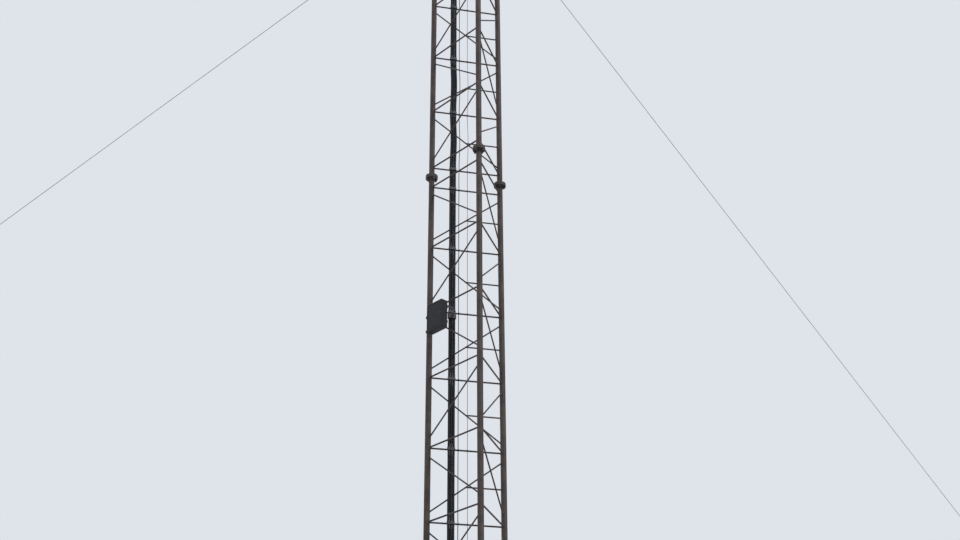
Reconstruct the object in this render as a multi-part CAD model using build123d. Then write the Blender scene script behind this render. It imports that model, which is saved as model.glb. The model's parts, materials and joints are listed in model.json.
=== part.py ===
from build123d import *
from math import cos, radians, sin, sqrt
import os

# A triangular lattice radio mast of three bolted sections, held upright by one ring of three stays.
# +Z is up, the front leg points to -Y, and the origin is under the middle of the base plate.
# Sizes are in millimetres.

# Lattice
FACE_WIDTH = 800.0
BAY_HEIGHT = 790.0
BAYS_PER_SECTION = 6
JOINT_TO_RING_DISTANCE = 130.0
LEG_DIAMETER = 63.5
LEG_WALL_THICKNESS = 5.0
RING_BAR_DIAMETER = 18.0
DIAGONAL_BAR_DIAMETER = 16.0
DIAGONAL_TO_RING_DISTANCE = 90.0
BAR_SIDES = 6
SECTIONS = ("lower", "middle", "upper")

# Flange joints
FLANGE_DIAMETER = 140.0
FLANGE_THICKNESS = 20.0
FLANGE_BOLT_CIRCLE_DIAMETER = 104.0
FLANGE_BOLT_COUNT = 4
FLANGE_HOLE_DIAMETER = 17.5

# Base plate
BASE_THICKNESS = 25.0
BASE_CORNER_RADIUS = 120.0
BASE_BOLT_CIRCLE_DIAMETER = 720.0
BASE_BOLT_COUNT = 6
BASE_HOLE_DIAMETER = 26.0

# Head plate, with a raised seat for the foot of an antenna
HEAD_THICKNESS = 16.0
HEAD_CORNER_RADIUS = 90.0
ANTENNA_SEAT_DIAMETER = 200.0
ANTENNA_SEAT_HEIGHT = 12.0
ANTENNA_BOLT_CIRCLE_DIAMETER = 150.0
ANTENNA_BOLT_COUNT = 4
ANTENNA_HOLE_DIAMETER = 14.0

# Lightning rod
ROD_AXIS_DISTANCE = 150.0
ROD_DIAMETER = 16.0
ROD_LENGTH = 900.0
ROD_TIP_LENGTH = 64.0
ROD_TIP_DIAMETER = 2.0
ROD_SOCKET_DIAMETER = 40.0
ROD_SOCKET_HEIGHT = 70.0

# Cables on the back face, placed by their distance from the left leg's axis
SEAT_CLEARANCE = 0.3
FEEDER_LEG_DISTANCE = 240.0
FEEDER_DIAMETER = 25.0
FEEDER_PITCH = 26.5
FEEDER_COUNT = 3
CLEAT_WALL_THICKNESS = 4.0
CLEAT_HEIGHT = 34.0
CONNECTOR_DIAMETER = 26.0
THIN_CONNECTOR_DIAMETER = 20.0
CONNECTOR_HEIGHT = 55.0
DUCT_WALL_THICKNESS = 4.0
DUCT_CLEARANCE = 12.0
DUCT_HEIGHT = 90.0
THIN_CABLE_LEG_DISTANCE = 316.0
THIN_CABLE_DIAMETER = 8.0
EARTH_WIRE_LEG_DISTANCE = 414.0
EARTH_WIRE_DIAMETER = 6.0

# Box outside the left face, beside the left leg, with its top edge at a distance below the joint above it
BOX_WIDTH = 235.0
BOX_DEPTH = 75.0
BOX_HEIGHT = 320.0
BOX_WALL_THICKNESS = 2.5
BOX_CORNER_RADIUS = 6.0
BOX_LEG_DISTANCE = 100.0
BOX_JOINT_DISTANCE = 1725.0
DOOR_THICKNESS = 8.0
RAIL_HEIGHT = 30.0
RAIL_THICKNESS = 8.0
RAIL_END_DISTANCE = 75.0
RAIL_OVERHANG_LENGTH = 14.0
CONDUIT_DIAMETER = 20.0
CONDUIT_END_DISTANCE = 40.0
CONDUIT_SIDE_DISTANCE = 35.0
CONDUIT_BEND_RADIUS = 80.0
TAP_WALL_THICKNESS = 9.0
TAP_HEIGHT = 50.0

# Stays, with their lugs, shackles and thimbles
STAY_RINGS_BELOW_HEAD = 1
STRAND_DIAMETER = 7.0
LUG_THICKNESS = 14.0
LUG_REACH_LENGTH = 50.0
LUG_ROOT_DEPTH = 6.0
LUG_HEIGHT = 150.0
LUG_RADIUS = 30.0
SIDE_CLEARANCE = 1.0
SHACKLE_LENGTH = 40.0
SHACKLE_WIRE_DIAMETER = 16.0
SHACKLE_PIN_DIAMETER = 22.0
SHACKLE_EYE_DIAMETER = 36.0
THIMBLE_HOLE_DIAMETER = 40.0
THIMBLE_WIRE_DIAMETER = 14.0
FERRULE_DIAMETER = 20.0
FERRULE_LENGTH = 55.0

# Turnbuckles
JAW_PIN_DIAMETER = 16.0
JAW_PIN_END_LENGTH = 8.0
JAW_CHEEK_THICKNESS = 9.0
JAW_BLOCK_LENGTH = 26.0
JAW_REACH_LENGTH = 40.0
SCREW_DIAMETER = 18.0
SCREW_SHOWN_LENGTH = 45.0
SCREW_INSIDE_LENGTH = 80.0
BARREL_LENGTH = 300.0
BARREL_BOSS_LENGTH = 40.0
BARREL_BOSS_DIAMETER = 46.0
BARREL_BAR_DIAMETER = 12.0
BARREL_BAR_CLEARANCE = 1.0

# Ground anchors
ANCHOR_RADIUS = 22500.0
ANCHOR_EYE_HEIGHT = 170.0
ANCHOR_PLATE_WIDTH = 300.0
ANCHOR_PLATE_THICKNESS = 20.0
ANCHOR_BOLT_CIRCLE_DIAMETER = 320.0
ANCHOR_BOLT_COUNT = 4
ANCHOR_HOLE_DIAMETER = 22.0
ANCHOR_WEB_WIDTH = 225.0
GUSSET_WIDTH = 225.0
GUSSET_HEIGHT = 90.0
GUSSET_THICKNESS = 12.0

# The legs by the angle of their place in plan, and the faces by the two legs that they join
LEGS = {"front": -90.0, "right": 30.0, "left": 150.0}
FACES = {"left": ("left", "front"), "right": ("front", "right"), "back": ("right", "left")}

SECTION_HEIGHT = BAYS_PER_SECTION * BAY_HEIGHT + 2 * JOINT_TO_RING_DISTANCE
HEAD_HEIGHT = BASE_THICKNESS + len(SECTIONS) * SECTION_HEIGHT
HEAD_TOP = HEAD_HEIGHT + HEAD_THICKNESS
LEG_CIRCLE_RADIUS = FACE_WIDTH / sqrt(3)
RUNG_Y = LEG_CIRCLE_RADIUS / 2
CABLE_SEAT_Y = RUNG_Y - RING_BAR_DIAMETER / 2 - SEAT_CLEARANCE
FEEDER_X = FEEDER_LEG_DISTANCE - FACE_WIDTH / 2
FEEDER_Y = CABLE_SEAT_Y - CLEAT_WALL_THICKNESS - SEAT_CLEARANCE - FEEDER_DIAMETER / 2
FEEDER_SPREAD = (FEEDER_COUNT - 1) * FEEDER_PITCH
THIN_CABLE_PLACE = (THIN_CABLE_LEG_DISTANCE - FACE_WIDTH / 2, CABLE_SEAT_Y - THIN_CABLE_DIAMETER / 2)
EARTH_WIRE_PLACE = (EARTH_WIRE_LEG_DISTANCE - FACE_WIDTH / 2, CABLE_SEAT_Y - EARTH_WIRE_DIAMETER / 2)
BOX_TOP_LEVEL = BASE_THICKNESS + 2 * SECTION_HEIGHT - BOX_JOINT_DISTANCE
BOX_LEVEL = BOX_TOP_LEVEL - BOX_HEIGHT / 2
BOX_BACK_DISTANCE = LEG_DIAMETER / 2 + RAIL_THICKNESS + SEAT_CLEARANCE
CONDUIT_LEVEL = BOX_TOP_LEVEL - CONDUIT_END_DISTANCE
JAW_GAP = LUG_THICKNESS / 2 + SIDE_CLEARANCE
JAW_LENGTH = JAW_REACH_LENGTH + JAW_BLOCK_LENGTH
TURNBUCKLE_LENGTH = 2 * (JAW_LENGTH + SCREW_SHOWN_LENGTH) + BARREL_LENGTH
BASE_ALIGN = (Align.CENTER, Align.CENTER, Align.MIN)


def leg_centre(name):
    """The plan position of a leg's axis."""
    angle = radians(LEGS[name])
    return LEG_CIRCLE_RADIUS * cos(angle), LEG_CIRCLE_RADIUS * sin(angle)


def section_floor(name):
    """The height of a section's lower flange face."""
    return BASE_THICKNESS + SECTIONS.index(name) * SECTION_HEIGHT


def ring_heights(name):
    """The heights of a section's level bars."""
    low = section_floor(name) + JOINT_TO_RING_DISTANCE
    return [low + BAY_HEIGHT * count for count in range(BAYS_PER_SECTION + 1)]


def bar(start, end, diameter, across=(0, 0, 1)):
    """A straight bar of few sides between two points."""
    start, end = Vector(*start), Vector(*end)
    section = Plane(origin=start, x_dir=Vector(*across), z_dir=end - start)
    return extrude(section * RegularPolygon(diameter / 2, BAR_SIDES), amount=(end - start).length)


def round_bar(start, end, diameter):
    """A straight round bar between two points."""
    start, end = Vector(*start), Vector(*end)
    section = Plane(origin=start, z_dir=end - start)
    return extrude(section * Circle(diameter / 2), amount=(end - start).length)


def bent_bar(path, section):
    """A section carried along a bent path."""
    return sweep(Plane(origin=path @ 0, z_dir=path % 0) * section, path)


def hole_ring(circle_diameter, count, hole_diameter, start_angle=0.0):
    """Holes spaced evenly round a bolt circle."""
    return PolarLocations(circle_diameter / 2, count, start_angle=start_angle) * Circle(hole_diameter / 2)


def flange_holes(name):
    """The bolt holes of a leg's flange, turned so that none points at the mast's axis."""
    turn = LEGS[name] + 180 / FLANGE_BOLT_COUNT
    return hole_ring(FLANGE_BOLT_CIRCLE_DIAMETER, FLANGE_BOLT_COUNT, FLANGE_HOLE_DIAMETER, turn)


def leg(name, section):
    """One leg tube of a section, open at both ends."""
    ring = Circle(LEG_DIAMETER / 2) - Circle(LEG_DIAMETER / 2 - LEG_WALL_THICKNESS)
    return Pos(*leg_centre(name), section_floor(section)) * extrude(ring, amount=SECTION_HEIGHT)


def section_flanges(section):
    """The six round flanges of a section, fitted over the ends of its three legs."""
    low = section_floor(section)
    levels = (low, low + SECTION_HEIGHT - FLANGE_THICKNESS)
    flanges = []
    for name in LEGS:
        outline = Circle(FLANGE_DIAMETER / 2) - Circle(LEG_DIAMETER / 2) - flange_holes(name)
        disc = extrude(outline, amount=FLANGE_THICKNESS)
        flanges += [Pos(*leg_centre(name), level) * disc for level in levels]
    return flanges


def lattice(face, section):
    """The level bars, the alternating diagonals and, at the back, the half rungs of one face."""
    first, second = (leg_centre(name) for name in FACES[face])
    outward = (first[0] + second[0], first[1] + second[1], 0)
    rings = ring_heights(section)
    bars = [bar((*first, level), (*second, level), RING_BAR_DIAMETER, outward) for level in rings]
    for count, (low, high) in enumerate(zip(rings, rings[1:])):
        upper, lower = (first, second) if count % 2 else (second, first)
        top = (*upper, high - DIAGONAL_TO_RING_DISTANCE)
        foot = (*lower, low + DIAGONAL_TO_RING_DISTANCE)
        bars.append(bar(top, foot, DIAGONAL_BAR_DIAMETER, outward))
        if face == "back":
            level = (low + high) / 2
            rung = bar((0, RUNG_Y, level), (*first, level), DIAGONAL_BAR_DIAMETER, outward)
            bars.append(rung - bar(top, foot, DIAGONAL_BAR_DIAMETER + 2 * SEAT_CLEARANCE, outward))
    tube = extrude(Circle(LEG_DIAMETER / 2), amount=SECTION_HEIGHT)
    tubes = [Pos(*centre, section_floor(section)) * tube for centre in (first, second)]
    return [item - tubes for item in bars]


def plate_outline(corner_radius):
    """A triangle round the three legs with round corners."""
    corners = Polygon(*[leg_centre(name) for name in LEGS], align=None)
    return offset(corners, amount=corner_radius)


def duct_outline(wall):
    """The inside of the cable duct, a slot with round ends, grown by a wall."""
    width = FEEDER_DIAMETER + 2 * (DUCT_CLEARANCE + wall)
    return Pos(FEEDER_X, FEEDER_Y) * SlotCenterToCenter(FEEDER_SPREAD, width)


def base_plate():
    """The foot plate, with its foundation bolts and the holes for the duct and the thin cable."""
    outline = plate_outline(BASE_CORNER_RADIUS)
    outline -= hole_ring(BASE_BOLT_CIRCLE_DIAMETER, BASE_BOLT_COUNT, BASE_HOLE_DIAMETER)
    outline -= duct_outline(DUCT_WALL_THICKNESS)
    outline -= Pos(*THIN_CABLE_PLACE) * Circle(THIN_CABLE_DIAMETER / 2 + SEAT_CLEARANCE)
    return extrude(outline, amount=BASE_THICKNESS)


def cable_duct():
    """The steel sleeve through which the feeders leave the base."""
    ring = duct_outline(DUCT_WALL_THICKNESS) - duct_outline(0)
    return extrude(ring, amount=BASE_THICKNESS + DUCT_HEIGHT)


def feeder_places():
    """The plan positions of the feeders."""
    first = FEEDER_X - FEEDER_SPREAD / 2
    return [(first + FEEDER_PITCH * count, FEEDER_Y) for count in range(FEEDER_COUNT)]


def head_plate():
    """The plate on the three leg heads, with a raised antenna seat and holes for bolts and cables."""
    outline = plate_outline(HEAD_CORNER_RADIUS)
    for name in LEGS:
        outline -= [Pos(*leg_centre(name)) * hole for hole in flange_holes(name)]
    outline -= [Pos(*place) * Circle(FEEDER_DIAMETER / 2 + SEAT_CLEARANCE) for place in feeder_places()]
    outline -= Pos(*THIN_CABLE_PLACE) * Circle(THIN_CABLE_DIAMETER / 2 + SEAT_CLEARANCE)
    plate = extrude(outline, amount=HEAD_THICKNESS)
    seat = extrude(Circle(ANTENNA_SEAT_DIAMETER / 2), amount=HEAD_THICKNESS + ANTENNA_SEAT_HEIGHT)
    bolts = hole_ring(ANTENNA_BOLT_CIRCLE_DIAMETER, ANTENNA_BOLT_COUNT, ANTENNA_HOLE_DIAMETER, 45)
    bores = [extrude(hole, amount=HEAD_THICKNESS + ANTENNA_SEAT_HEIGHT) for hole in bolts]
    return Pos(0, 0, HEAD_HEIGHT) * (plate + seat - bores)


def feeders():
    """The three feeder cables, side by side from the duct to the head plate."""
    cable = extrude(Circle(FEEDER_DIAMETER / 2), amount=HEAD_TOP)
    return [Pos(*place) * cable for place in feeder_places()]


def connectors():
    """The capped connectors in which the cables end on the head plate."""
    discs = [Pos(*place) * Circle(CONNECTOR_DIAMETER / 2) for place in feeder_places()]
    discs.append(Pos(*THIN_CABLE_PLACE) * Circle(THIN_CONNECTOR_DIAMETER / 2))
    return [Pos(0, 0, HEAD_TOP) * extrude(disc, amount=CONNECTOR_HEIGHT) for disc in discs]


def feeder_collar(wall, height):
    """A flat collar with round ends that fits round the feeders."""
    bore = FEEDER_DIAMETER + 2 * SEAT_CLEARANCE
    outline = SlotCenterToCenter(FEEDER_SPREAD, bore + 2 * wall) - SlotCenterToCenter(FEEDER_SPREAD, bore)
    return Pos(FEEDER_X, FEEDER_Y, -height / 2) * extrude(outline, amount=height)


def cleats():
    """The straps that hold the feeders to the level bars of the back face."""
    strap = feeder_collar(CLEAT_WALL_THICKNESS, CLEAT_HEIGHT)
    return [Pos(0, 0, level) * strap for section in SECTIONS for level in ring_heights(section)]


def thin_cable():
    """The thin cable beside the feeders, from the ground to the head plate."""
    return bar((*THIN_CABLE_PLACE, 0), (*THIN_CABLE_PLACE, HEAD_TOP), THIN_CABLE_DIAMETER, (1, 0, 0))


def earth_wire():
    """The earth wire of the lightning rod, between the base plate and the head plate."""
    foot = (*EARTH_WIRE_PLACE, BASE_THICKNESS + SEAT_CLEARANCE)
    top = (*EARTH_WIRE_PLACE, HEAD_HEIGHT - SEAT_CLEARANCE)
    return bar(foot, top, EARTH_WIRE_DIAMETER, (1, 0, 0))


def lightning_rod():
    """The pointed rod in its socket on the head plate."""
    socket = Cylinder(ROD_SOCKET_DIAMETER / 2, ROD_SOCKET_HEIGHT, align=BASE_ALIGN)
    shaft = Cylinder(ROD_DIAMETER / 2, ROD_LENGTH, align=BASE_ALIGN)
    tip = Cone(ROD_DIAMETER / 2, ROD_TIP_DIAMETER / 2, ROD_TIP_LENGTH, align=BASE_ALIGN)
    rod = socket + shaft + Pos(0, 0, ROD_LENGTH) * tip
    return Pos(ROD_AXIS_DISTANCE, EARTH_WIRE_PLACE[1], HEAD_TOP) * rod


def box_place():
    """A place on the left leg's axis: X runs along the left face, Y up and Z out of the face."""
    left, front = leg_centre("left"), leg_centre("front")
    along = Vector(front[0] - left[0], front[1] - left[1], 0).normalized()
    return Plane(origin=(*left, BOX_LEVEL), x_dir=along, z_dir=along.cross(Vector(0, 0, 1)))


def box_shell():
    """The box, open at its front until the door closes it."""
    outer = RectangleRounded(BOX_WIDTH, BOX_HEIGHT, BOX_CORNER_RADIUS)
    cavity = extrude(offset(outer, amount=-BOX_WALL_THICKNESS), amount=BOX_DEPTH)
    shell = extrude(outer, amount=BOX_DEPTH) - Pos(0, 0, BOX_WALL_THICKNESS) * cavity
    return box_place().location * Pos(BOX_LEG_DISTANCE + BOX_WIDTH / 2, 0, BOX_BACK_DISTANCE) * shell


def box_door():
    """The flat lid of the box."""
    lid = extrude(RectangleRounded(BOX_WIDTH, BOX_HEIGHT, BOX_CORNER_RADIUS), amount=DOOR_THICKNESS)
    front = BOX_BACK_DISTANCE + BOX_DEPTH
    return box_place().location * Pos(BOX_LEG_DISTANCE + BOX_WIDTH / 2, 0, front) * lid


def box_rails():
    """The two rails that carry the box on the left leg."""
    length = RAIL_OVERHANG_LENGTH + BOX_LEG_DISTANCE + BOX_WIDTH
    height = BOX_HEIGHT / 2 - RAIL_END_DISTANCE
    rail = extrude(Rectangle(length, RAIL_HEIGHT), amount=RAIL_THICKNESS)
    along, seat = length / 2 - RAIL_OVERHANG_LENGTH, LEG_DIAMETER / 2 + SEAT_CLEARANCE
    return [box_place().location * Pos(along, y, seat) * rail for y in (-height, height)]


def conduit():
    """The bent conduit from the back of the box to the collar on the feeders."""
    place = box_place()
    along = BOX_LEG_DISTANCE + BOX_WIDTH - CONDUIT_SIDE_DISTANCE
    start = place.from_local_coords((along, 0, BOX_BACK_DISTANCE - SEAT_CLEARANCE))
    turn = start + place.z_dir * ((FEEDER_X - start.X) / place.z_dir.X)
    end_y = FEEDER_Y - FEEDER_DIAMETER / 2 - TAP_WALL_THICKNESS - 2 * SEAT_CLEARANCE
    level = CONDUIT_LEVEL
    points = [(start.X, start.Y, level), (turn.X, turn.Y, level), (turn.X, end_y, level)]
    path = FilletPolyline(*points, radius=CONDUIT_BEND_RADIUS)
    return bent_bar(path, Circle(CONDUIT_DIAMETER / 2))


def cable_tap():
    """The collar on the feeders where the conduit of the box joins them."""
    return Pos(0, 0, CONDUIT_LEVEL) * feeder_collar(TAP_WALL_THICKNESS, TAP_HEIGHT)


def stay_eyes():
    """The pins of a stay that runs to +X, at its lug and at its anchor."""
    level = ring_heights(SECTIONS[-1])[-1 - STAY_RINGS_BELOW_HEAD]
    upper = Vector(LEG_CIRCLE_RADIUS + LEG_DIAMETER / 2 + LUG_REACH_LENGTH, 0, level)
    return upper, Vector(ANCHOR_RADIUS, 0, ANCHOR_EYE_HEIGHT)


def stay_ends():
    """Two places, one at each pin of a stay, whose X runs along the stay to the other pin."""
    upper, lower = stay_eyes()
    return (Plane(origin=upper, x_dir=lower - upper, z_dir=(0, 1, 0)).location,
            Plane(origin=lower, x_dir=upper - lower, z_dir=(0, 1, 0)).location)


def stay_lug():
    """The eye plate on a leg, in the stay's own upright plane."""
    eye, _ = stay_eyes()
    length = LUG_REACH_LENGTH + LUG_ROOT_DEPTH
    web = Plane.XZ * Pos(eye.X - length / 2, eye.Z) * Rectangle(length, LUG_HEIGHT)
    ear = Plane.XZ * Pos(eye.X, eye.Z) * Circle(LUG_RADIUS)
    hole = Plane.XZ * Pos(eye.X, eye.Z) * Circle(SHACKLE_PIN_DIAMETER / 2 + SEAT_CLEARANCE)
    plate = extrude(web + ear - hole, amount=LUG_THICKNESS / 2, both=True)
    return plate - Pos(LEG_CIRCLE_RADIUS, 0, eye.Z) * Cylinder(LEG_DIAMETER / 2, 2 * LUG_HEIGHT)


def shackle():
    """A shackle with its pin at the origin and its bow along +X."""
    spread = JAW_GAP + SHACKLE_WIRE_DIAMETER / 2
    ends = [(0, 0, -spread), (SHACKLE_LENGTH, 0, -spread), (SHACKLE_LENGTH, 0, spread), (0, 0, spread)]
    crown = ThreePointArc(ends[1], (SHACKLE_LENGTH + spread, 0, 0), ends[2])
    path = Line(ends[0], ends[1]) + crown + Line(ends[2], ends[3])
    bow = bent_bar(path, Circle(SHACKLE_WIRE_DIAMETER / 2))
    eye = Cylinder(SHACKLE_EYE_DIAMETER / 2, SHACKLE_WIRE_DIAMETER)
    pin = Cylinder(SHACKLE_PIN_DIAMETER / 2, 2 * (spread + SHACKLE_WIRE_DIAMETER))
    return bow + Pos(0, 0, -spread) * eye + Pos(0, 0, spread) * eye + pin


def thimble():
    """The end of a stay: an eye round the origin that narrows into a ferrule towards +X.

    The ferrule starts at twice the eye's radius, so the straight sides leave the eye at 60 degrees.
    """
    radius = (THIMBLE_HOLE_DIAMETER + THIMBLE_WIRE_DIAMETER) / 2
    arc = CenterArc((0, 0), radius, 60, 240)
    point = (2 * radius, 0, 0)
    eye = bent_bar(arc, RegularPolygon(THIMBLE_WIRE_DIAMETER / 2, BAR_SIDES))
    sides = [bar(arc @ end, point, THIMBLE_WIRE_DIAMETER) for end in (0, 1)]
    return eye + sides + round_bar(point, (point[0] + FERRULE_LENGTH, 0, 0), FERRULE_DIAMETER)


def thimble_places():
    """The distances of a stay's two thimbles from its two pins."""
    hole = THIMBLE_HOLE_DIAMETER / 2 - SEAT_CLEARANCE
    return SHACKLE_LENGTH + JAW_GAP + hole, TURNBUCKLE_LENGTH - JAW_PIN_DIAMETER / 2 + hole


def thimbles():
    """The two thimbles of a stay."""
    return [end * Pos(place, 0, 0) * thimble() for end, place in zip(stay_ends(), thimble_places())]


def strand():
    """The wire strand of a stay, between the ferrules of its two thimbles."""
    upper, lower = stay_eyes()
    places = thimble_places()
    ferrule_end = THIMBLE_HOLE_DIAMETER + THIMBLE_WIRE_DIAMETER + FERRULE_LENGTH
    start = places[0] + ferrule_end
    end = (lower - upper).length - places[1] - ferrule_end
    return stay_ends()[0] * bar((start, 0, 0), (end, 0, 0), STRAND_DIAMETER)


def jaw():
    """A fork for a pin at the origin, with its screw along +X."""
    width = 2 * (JAW_GAP + JAW_CHEEK_THICKNESS)
    outline = Pos(JAW_REACH_LENGTH / 2, 0) * Rectangle(JAW_REACH_LENGTH, width) + Circle(width / 2)
    cheek = extrude(outline - Circle(JAW_PIN_DIAMETER / 2 + SEAT_CLEARANCE), amount=JAW_CHEEK_THICKNESS)
    block = Pos(JAW_REACH_LENGTH + JAW_BLOCK_LENGTH / 2, 0, 0) * Box(JAW_BLOCK_LENGTH, width, width)
    screw_end = JAW_LENGTH + SCREW_SHOWN_LENGTH + SCREW_INSIDE_LENGTH
    screw = round_bar((JAW_LENGTH, 0, 0), (screw_end, 0, 0), SCREW_DIAMETER)
    cheeks = Pos(0, 0, JAW_GAP) * cheek + Pos(0, 0, -JAW_GAP - JAW_CHEEK_THICKNESS) * cheek
    return cheeks + block + screw


def barrel():
    """The open frame of a turnbuckle, starting at the origin and running along +X."""
    ring = Circle(BARREL_BOSS_DIAMETER / 2) - Circle(SCREW_DIAMETER / 2 + SEAT_CLEARANCE)
    boss = extrude(Plane.YZ * ring, amount=BARREL_BOSS_LENGTH)
    side = SCREW_DIAMETER / 2 + BARREL_BAR_CLEARANCE + BARREL_BAR_DIAMETER / 2
    start, end = BARREL_BOSS_LENGTH / 2, BARREL_LENGTH - BARREL_BOSS_LENGTH / 2
    rails = [round_bar((start, y, 0), (end, y, 0), BARREL_BAR_DIAMETER) for y in (-side, side)]
    return boss + rails + Pos(BARREL_LENGTH - BARREL_BOSS_LENGTH, 0, 0) * boss


def jaw_pin():
    """The pin of a jaw, standing out past both cheeks."""
    return Cylinder(JAW_PIN_DIAMETER / 2, 2 * (JAW_GAP + JAW_CHEEK_THICKNESS + JAW_PIN_END_LENGTH))


def anchor():
    """The foot of a stay: a bolted plate with an upright eye plate and two gussets."""
    foot, top = ANCHOR_PLATE_THICKNESS, ANCHOR_EYE_HEIGHT
    outline = Rectangle(ANCHOR_PLATE_WIDTH, ANCHOR_PLATE_WIDTH)
    outline -= hole_ring(ANCHOR_BOLT_CIRCLE_DIAMETER, ANCHOR_BOLT_COUNT, ANCHOR_HOLE_DIAMETER, 45)
    half = ANCHOR_WEB_WIDTH / 2
    web = Polygon((-half, foot), (half, foot), (LUG_RADIUS, top), (-LUG_RADIUS, top), align=None)
    hole = Circle(JAW_PIN_DIAMETER / 2 + SEAT_CLEARANCE)
    profile = web + Pos(0, top) * Circle(LUG_RADIUS) - Pos(0, top) * hole
    lug = extrude(Plane.XZ * profile, amount=LUG_THICKNESS / 2, both=True)
    half = GUSSET_WIDTH / 2
    triangle = Polygon((-half, foot), (half, foot), (0, foot + GUSSET_HEIGHT), align=None)
    gusset = extrude(Plane.YZ * triangle, amount=GUSSET_THICKNESS / 2, both=True)
    return Pos(ANCHOR_RADIUS, 0, 0) * (extrude(outline, amount=foot) + lug + gusset)


def write(name, parts):
    """Saves one node; a list becomes solids that lie apart."""
    parts = parts if isinstance(parts, list) else [parts]
    solids = [solid for item in parts for solid in item.solids()]
    export_step(solids[0] if len(solids) == 1 else Compound(children=solids), f"parts/{name}.step")


def around(*parts):
    """Copies pieces made for a stay along +X to the three stays."""
    return [Rot(0, 0, angle) * item for angle in LEGS.values() for item in parts]


os.makedirs("parts", exist_ok=True)
write("base_plate", base_plate())
write("head_plate", head_plate())
write("lightning_rod", lightning_rod())
for section in SECTIONS:
    write(f"{section}_flanges", section_flanges(section))
    for name in LEGS:
        write(f"{section}_{name}_leg", leg(name, section))
    for face in FACES:
        write(f"{section}_{face}_lattice", lattice(face, section))

write("feeder_cables", feeders())
write("feeder_cleats", cleats())
write("cable_duct", cable_duct())
write("cable_connectors", connectors())
write("cable_tap", cable_tap())
write("thin_cable", thin_cable())
write("earth_wire", earth_wire())

write("equipment_box", box_shell())
write("equipment_box_door", box_door())
write("equipment_box_rails", box_rails())
write("equipment_box_conduit", conduit())

lug_end, anchor_end = stay_ends()
far_pin = anchor_end * Pos(TURNBUCKLE_LENGTH, 0, 0)
frame = anchor_end * Pos(JAW_LENGTH + SCREW_SHOWN_LENGTH, 0, 0) * barrel()
write("stay_lugs", around(stay_lug()))
write("stay_shackles", around(lug_end * shackle()))
write("stay_thimbles", around(*thimbles()))
write("turnbuckle_barrels", around(frame))
write("turnbuckle_jaws", around(anchor_end * jaw(), far_pin * Rot(0, 0, 180) * jaw()))
write("turnbuckle_pins", around(anchor_end * jaw_pin(), far_pin * jaw_pin()))
for name, angle in LEGS.items():
    write(f"{name}_stay", Rot(0, 0, angle) * strand())
    write(f"{name}_anchor", Rot(0, 0, angle) * anchor())
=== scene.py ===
import json
from math import ceil, cos, pi, radians, sin

import bpy
import numpy as np
from mathutils import Matrix, Vector


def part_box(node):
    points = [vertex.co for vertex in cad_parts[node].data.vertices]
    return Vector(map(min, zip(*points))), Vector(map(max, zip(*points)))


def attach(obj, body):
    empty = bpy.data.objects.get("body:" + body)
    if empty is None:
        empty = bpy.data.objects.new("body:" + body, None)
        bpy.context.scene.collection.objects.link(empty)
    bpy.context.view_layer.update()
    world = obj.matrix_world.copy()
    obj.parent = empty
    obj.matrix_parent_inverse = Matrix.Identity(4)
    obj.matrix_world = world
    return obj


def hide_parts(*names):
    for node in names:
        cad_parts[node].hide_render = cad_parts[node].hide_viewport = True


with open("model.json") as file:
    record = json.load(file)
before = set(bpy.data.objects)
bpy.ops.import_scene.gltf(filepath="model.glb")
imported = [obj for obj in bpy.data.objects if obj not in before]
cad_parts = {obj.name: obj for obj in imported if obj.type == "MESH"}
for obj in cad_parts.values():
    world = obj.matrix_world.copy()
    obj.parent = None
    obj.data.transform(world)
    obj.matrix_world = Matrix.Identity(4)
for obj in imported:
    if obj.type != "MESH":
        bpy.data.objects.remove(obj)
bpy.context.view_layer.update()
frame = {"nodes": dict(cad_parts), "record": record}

MM = 0.001
UP = np.array((0.0, 0.0, 1.0))

# Edges that bend by more than this stay sharp
SHARP_ANGLE = radians(38)

# Legs by the angle of their place in plan, faces by the two legs that they join, sections from the ground up
LEGS = {"front": -90, "right": 30, "left": 150}
FACES = {"left": ("left", "front"), "right": ("front", "right"), "back": ("right", "left")}
SECTIONS = ("lower", "middle", "upper")

# Lattice
BAYS = 6
BAY_HEIGHT = 790 * MM
JOINT_TO_RING = 130 * MM
LEG_RADIUS = 31.75 * MM
RING_RADIUS = 9 * MM
DIAGONAL_RADIUS = 8 * MM
DIAGONAL_TO_RING = 90 * MM
BAR_SIDES = 16
BAR_LET_IN = 2.5 * MM
BEAD_SIDES = 12
WELD_SIZE = 3.2 * MM
WELD_RIPPLE = 6 * MM
WELD_SWELL = 0.08
FLANGE_RADIUS = 70 * MM
FLANGE_THICKNESS = 20 * MM
FLANGE_CHAMFER = 1.8 * MM
FLANGE_WELD = 4 * MM
FLANGE_WELD_OUT = 1 * MM

# Bolt circles by their radius, and bolts by their thread
FLANGE_CIRCLE, FLANGE_BOLTS, FLANGE_THREAD = 52 * MM, 4, 16 * MM
FOUNDATION_CIRCLE, FOUNDATION_BOLTS, FOUNDATION_THREAD = 360 * MM, 6, 24 * MM
ANCHOR_CIRCLE, ANCHOR_BOLTS, ANCHOR_THREAD = 160 * MM, 4, 20 * MM

# Bolts' proportions, as shares of the thread's diameter
HEX_FLATS = 1.5
HEAD_HEIGHT = 0.63
NUT_HEIGHT = 0.8
WASHER_WIDTH = 1.87
WASHER_BORE = 1.06
WASHER_THICKNESS = 0.18
THREAD_PITCH = 0.16
THREAD_SHOWN = 0.55
HEX_STEPS = 24

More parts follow.
